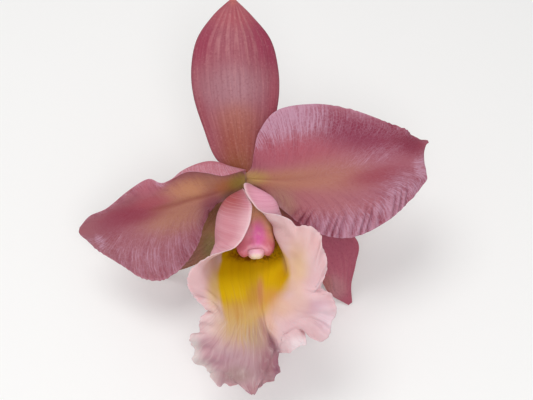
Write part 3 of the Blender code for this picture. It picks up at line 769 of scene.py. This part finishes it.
def paintLip(along, across, points):
    u, v = points[:, 0], points[:, 1]
    away = np.abs(across)
    rim = np.where(across > 0, smooth(0.86, 0.8, along), smooth(0.97, 0.93, along)) * smooth(0.95, 1, away)
    front = mix(brush(points, lip["inside"], lip["insidePatches"]), 0.35 * rim, lip["insideRim"])
    heights, lefts, rights = np.array(lip["throat"]).T
    soft = 1 + 3 * smooth(-36, -44, v)  # the gold ends sharply above and softly below
    deep = 6.5 * smooth(16, 9, points[:, 2])  # down inside the tube the gold covers its walls
    fromLeft = u - np.interp(v, heights, lefts) + deep
    fromRight = (np.interp(v, heights, rights) - u + deep) / soft
    gold = smooth(-1, 0.8, fromLeft) * smooth(-0.8, 1, fromRight) * smooth(0.99, 0.9, away)
    gold = gold * smooth(-60, -45.5, v - 0.1 * np.maximum(u - 4, 0))
    gold = gold * (1 - 0.5 * spot(u, v, (17.5, -30.5), (2.2, 5)))
    gilt = brush(points, lip["gold"], lip["goldPatches"])
    front = front * (1 - gold[:, None]) + gilt * gold[:, None]
    back = brush(points, lip["outside"], lip["outsidePatches"])
    band = smooth(0.86, 0.98, away) * window(along, 0.14, 0.24, 0.35, 0.45)
    back = mix(back, 0.45 * band, lip["outsideBand"])
    back = mix(back, 0.65 * smooth(0.965, 0.995, away) * smooth(0.45, 0.35, along), lip["outsideRim"])
    specks = spot(u, v, (3.6, -29.6), (10, 3), 0, 4)
    specks = np.maximum(specks, 0.9 * spot(u, v, (11, -24), (2.5, 5))) * gold
    streak = spot(u, v, (0, -53), (9.5, 10))
    radial = np.arctan2(u - 1.5, np.maximum(-42 - v, 1))
    return {"front": front, "back": back, "marks": np.column_stack([specks, streak, gold]), "radial": radial}


# The back has fine ribs that sag toward the rim. The front has rays, a fan of fine lines, specks and pleats
def lipMaterial(name, layer, pale, dark):
    board = Board(name)
    along, across = board.bladePlace()
    tint = board.attribute(layer, 0)
    speckled = board.add("SeparateColor", None, {0: board.attribute("marks", 0)})
    streaked, gilded = [Wire(board, speckled.socket.node.outputs[number]) for number in (1, 2)]
    plain = 1 - gilded
    wander = board.streaks(along * 6, across * 3) - 0.5
    cells = board.grain(900)
    if layer == "back":
        inner = 1 - abs(across)
        ribs = board.streaks(along * 132 + inner * inner * 76 + wander * 3, across * 2)
        colour = board.coat(
            tint,
            (dark, ribs.between(0.48, 0.7) * 0.22),
            (pale, (1 - ribs.between(0.3, 0.5)) * 0.18),
        )
        height = ribs * 0.5
    else:
        inks = lip["inks"]
        lane = across + wander * 0.08
        fan = board.streaks(along * 3, lane * 48)
        rays = board.streaks(along * 4, lane * 34, 3, shift=2)
        radial = board.attribute("radial", 2)
        pleats = board.streaks(radial * 24 + wander * 5, along * 8, 3, rough=0.6)
        frontLobe = along.between(0.56, 0.7) * (1 - radial.between(0.4, 0.75) * 0.6) * plain
        cloud = board.grain(130)
        specks = board.grain(750)
        colour = board.coat(
            tint,
            (dark, (1 - cloud.between(0.3, 0.55)) * plain * 0.14),
            (pale, cloud.between(0.5, 0.7) * plain * 0.1),
            (inks["vein"], pleats.between(0.5, 0.72) * frontLobe * 0.34),
            (inks["bloom"], (1 - pleats.between(0.26, 0.5)) * frontLobe * 0.24),
            (inks["ray"], rays.between(0.46, 0.72) * gilded * 0.14),
            (inks["streak"], rays.between(0.48, 0.66) * streaked * 0.42),
            (inks["fan"], fan.between(0.5, 0.66) * streaked * 0.3),
            (inks["speck"], specks.between(0.42, 0.58) * speckled * 0.9),
        )
        height = fan * 0.2 + pleats * frontLobe * 0.5
    colour = board.coat(colour, (dark, cells.between(0.58, 0.78) * plain * 0.08))
    finishTissue(board, colour, cells * 0.14 + 0.46, height + cells * 0.2, 0.3)
    return board.finish(Specular_IOR_Level=lip["specular"], Sheen_Weight=0)


lip.update(fold=foldLip, fray=frayLip, paint=paintLip)
lipFaces = [lipMaterial("lipInside", "front", (236, 212, 216), (196, 142, 152)),
            lipMaterial("lipOutside", "back", (236, 194, 202), (184, 100, 114))]
makeBlade("lip", "lip", lip, lipFaces)

column = {
    "foot": (2.2, -3.2, 0.8), "end": (4.3, -28.8, 18.8),
    "halfWidths": [0, 2.6, 3.8, 5.2, 6.4, 7.2, 7.6, 7.6, 6.2],
    "halfDepths": [0, 2, 2.5, 3, 3.4, 3.6, 3.6, 3.4, 2.4],
    "keel": 0.7, "keelWidth": 1.6, "hollow": 0.3, "lobe": 2.1, "lobeOut": 5.2, "lobeWidth": 2.4,
    "ground": (216, 128, 146),
    "patches": [
        # Painted light: the pale orange patches at (3.4, -11.5) and (10.4, -16.5) lighten the column's own
        # orange where the tube shades it
        ((2.4, -18), (2.6, 6), 0.85, (250, 176, 184)), ((3.4, -11.5), (7, 6), 0.95, (255, 206, 158)),
        ((10.4, -16.5), (3.8, 8), 0.9, (255, 200, 140), 12), ((5, -21.5), (3.2, 6), 0.95, (226, 112, 178)),
        ((1.2, -20.5), (2.2, 5), 0.6, (252, 160, 186)), ((-1.2, -28), (3.2, 4.5), 0.85, (220, 120, 140)),
        # The pale pink patch at (4.8, -27.6) is a painted highlight on the column's pale end above the cap
        ((9.4, -27.5), (3.2, 4.5), 0.85, (204, 104, 118)), ((4.8, -27.6), (3.8, 2.2), 0.85, (240, 190, 208)),
    ],
}
columnFoot, columnEnd = np.array(column["foot"]), np.array(column["end"])
columnAlong = (columnEnd - columnFoot) / np.linalg.norm(columnEnd - columnFoot)
columnSide = np.array((1, 0, 0)) - columnAlong * columnAlong[0]
columnSide /= np.linalg.norm(columnSide)
columnOut = np.cross(columnAlong, columnSide)


def fromColumn(base, sideways, outward, forward):
    directions = np.array([columnSide, columnOut, columnAlong])
    return base + np.column_stack([sideways, outward, forward]) @ directions


def shapeColumn(along, ring):
    widths, depths = profile(column["halfWidths"], along), profile(column["halfDepths"], along)
    close = np.sqrt(np.clip(1 - smooth(0.9, 1, along) ** 2, 0, 1))
    sideways = ring[:, 0] * widths * close
    keel = column["keel"] * hump(sideways, column["keelWidth"]) * smooth(0.3, 0.7, along)
    outward = ring[:, 1] * (depths * close + keel * (ring[:, 1] > 0))
    lobes = hump(np.abs(sideways) - column["lobeOut"], column["lobeWidth"])
    hollow = np.exp(-(sideways / 3) ** 4) * smooth(0.9, 1, along)  # the cap sits here, between two lobes
    forward = column["lobe"] * lobes * smooth(0.75, 0.95, along) - column["hollow"] * hollow
    centre = columnFoot + (columnEnd - columnFoot) * along[:, None]
    return fromColumn(centre, sideways, outward, forward)


def paintColumn(along, ring, points):
    return brush(points, column["ground"], column["patches"])


def waxMaterial(name, pale, dark, grain, rough):  # smooth waxy tissue, faintly mottled
    board = Board(name)
    tint = board.attribute("front", 0)
    mottle = board.grain(grain, 3)
    cells = board.grain(grain * 6)
    colour = board.coat(
        tint,
        (pale, mottle.between(0.5, 0.75) * 0.4),
        (dark, (1 - mottle.between(0.3, 0.5)) * 0.35),
        (dark, cells.between(0.55, 0.75) * 0.2),
    )
    return finishTissue(board, colour, mottle * 0.15 + (rough - 0.08), mottle * 0.6 + cells * 0.4, 0.2)


columnWax = waxMaterial("columnWax", (240, 184, 190), (190, 92, 110), 220, 0.38)
makeBody("column", "column", (64, 60), shapeColumn, paintColumn, [columnWax])

antherCap = {
    "half": (3.3, 2.3, 2.7), "back": 0.9, "forward": 0.3, "outward": 1.3, "notch": 0.15, "squareness": 3,
    "ground": (244, 222, 200), "blush": (234, 172, 196),
}


def shapeCap(along, ring):
    wide, tall, long = antherCap["half"]
    power = antherCap["squareness"]
    turn = along * math.pi
    corner = ring * (np.sin(turn) / (np.sum(np.abs(ring) ** power, axis=1) + 1e-9) ** (1 / power))[:, None]
    sideways, outward = corner[:, 0] * wide, corner[:, 1] * tall
    notch = antherCap["notch"] * hump(sideways, 0.5)
    forward = -np.cos(turn) * np.where(along > 0.5, long - notch, antherCap["back"])
    return fromColumn(columnEnd, sideways, outward + antherCap["outward"], forward + antherCap["forward"])


def paintCap(along, ring, points):
    paint = plainPaint(len(along), antherCap["ground"])
    return mix(paint, 0.95 * smooth(0.9, 0.62, along), antherCap["blush"])


capWax = waxMaterial("capWax", (246, 228, 214), (206, 150, 140), 300, 0.4)
makeBody("antherCap", "anther_cap", (48, 32), shapeCap, paintCap, [capWax])

ovary = {
    "line": [(0.5, -0.5, -1.6), (0.5, -0.7, -4.2), (0.6, -1.2, -9), (0.3, -2.5, -17),
             (0, -4.5, -26), (-0.5, -7, -36), (-1, -9.6, -45), (-1.2, -11.2, -50.9)],
    "radii": [4.2, 3.7, 3, 2.9, 2.4, 1.9, 1.9, 2.2],
    "ribs": 6, "ribDepth": 0.09, "twist": math.radians(110), "rounding": 0.015,
    "ground": (138, 146, 84), "top": (176, 116, 96), "stalk": (112, 128, 66),
    # painted shade for the furrows between the ribs
    "furrowShade": (124, 100, 62), "cutEnd": (196, 190, 142),
}


def shapeOvary(along, ring):
    rounding = ovary["rounding"]
    place = np.clip((along - rounding) / (1 - 2 * rounding), 0, 1)
    centre = flow(ovary["line"], place)
    turn = np.arctan2(ring[:, 1], ring[:, 0])
    ribbed = ovary["ribDepth"] * window(place, 0.02, 0.12, 0.55, 0.75)
    radius = profile(ovary["radii"], place)
    radius = radius * (1 - ribbed + ribbed * np.cos(ovary["ribs"] * (turn - ovary["twist"] * place)))
    radius = radius * np.sqrt(np.clip(np.minimum(along, 1 - along) / rounding, 0, 1))
    radius = radius * (np.hypot(*ring.T) > 0)  # closed at both poles
    return centre + np.column_stack([np.cos(turn), np.sin(turn), np.zeros(len(turn))]) * radius[:, None]


def paintOvary(along, ring, points):
    paint = plainPaint(len(along), ovary["ground"])
    paint = mix(paint, 0.75 * smooth(0.22, 0, along), ovary["top"])
    paint = mix(paint, 0.5 * smooth(0.5, 0.9, along), ovary["stalk"])
    turn = np.arctan2(ring[:, 1], ring[:, 0]) - ovary["twist"] * along
    # painted shade in the furrows between the ribs
    furrowShade = smooth(0.3, 1, -np.cos(ovary["ribs"] * turn)) * smooth(0.7, 0.5, along)
    paint = mix(paint, 0.4 * furrowShade, ovary["furrowShade"])
    return mix(paint, 0.8 * smooth(0.985, 0.995, along), ovary["cutEnd"])


stalkSkin = waxMaterial("stalkSkin", (176, 172, 112), (112, 84, 52), 420, 0.45)
makeBody("ovaryAndPedicel", "ovary_and_pedicel", (72, 120), shapeOvary, paintOvary, [stalkSkin])

pollen = Board("pollenWax")
grains = pollen.grain(4200)
pollenColour = pollen.blend(shade(226, 178, 44), shade(188, 126, 14), grains.between(0.4, 0.65))
pollenWax = finishTissue(pollen, pollenColour, grains * 0.2 + 0.3, grains, 0.2)
for number in range(1, 5):
    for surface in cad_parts[f"pollinium_{number}"].material_slots:
        surface.material = pollenWax
print("finished the pollinia")

# Studio: a pale floor, a soft light overhead, another in front and a pale surround
studio = {
    "floor": (0.93, 0.93, 0.93), "floorRough": 0.7, "floorSize": 6, "surround": 0.55,
    "keyLight": {"place": (-0.2, 0.12, 0.8), "size": 0.5, "power": 2, "colour": (1, 0.985, 0.96)},
    "frontLight": {"place": (0.06, -0.52, 0.68), "size": 0.4, "power": 2.1, "colour": (1, 0.99, 0.97)},
}
bpy.ops.mesh.primitive_plane_add(size=studio["floorSize"], location=(0, 0, 0))
floor = bpy.context.object
floor.name = "floor"
paleFloor = Board("paleFloor").finish(Base_Color=studio["floor"], Roughness=studio["floorRough"])
floor.data.materials.append(paleFloor)
for name in ("keyLight", "frontLight"):
    settings = studio[name]
    light = bpy.data.lights.new(name, "AREA")
    light.shape = "DISK"
    light.size = settings["size"]
    light.energy = settings["power"]
    light.color = settings["colour"]
    lamp = bpy.data.objects.new(name, light)
    lamp.location = settings["place"]
    x, y, z = settings["place"]
    lamp.rotation_euler = (math.atan2(math.hypot(x, y), z), 0, math.atan2(y, x) + math.pi / 2)
    bpy.context.scene.collection.objects.link(lamp)
world = bpy.data.worlds.new("surround")
world.use_nodes = True
background = world.node_tree.nodes["Background"]
background.inputs["Color"].default_value = (1, 1, 1, 1)
background.inputs["Strength"].default_value = studio["surround"]
bpy.context.scene.world = world
bpy.context.scene.view_settings.view_transform = "Standard"

# Camera: square on to the flower's face, 400 mm out along w
photo = {"lens": 65.9, "distance": 400, "aim": (8.4, -7.8)}
cameraData = bpy.data.cameras.new("camera")
cameraData.lens = photo["lens"]
camera = bpy.data.objects.new("camera", cameraData)
camera.location = toWorld((*photo["aim"], photo["distance"]))
camera.rotation_euler = (picked["lean"], 0, 0)
bpy.context.scene.collection.objects.link(camera)
bpy.context.scene.camera = camera
print("set the studio and the camera")
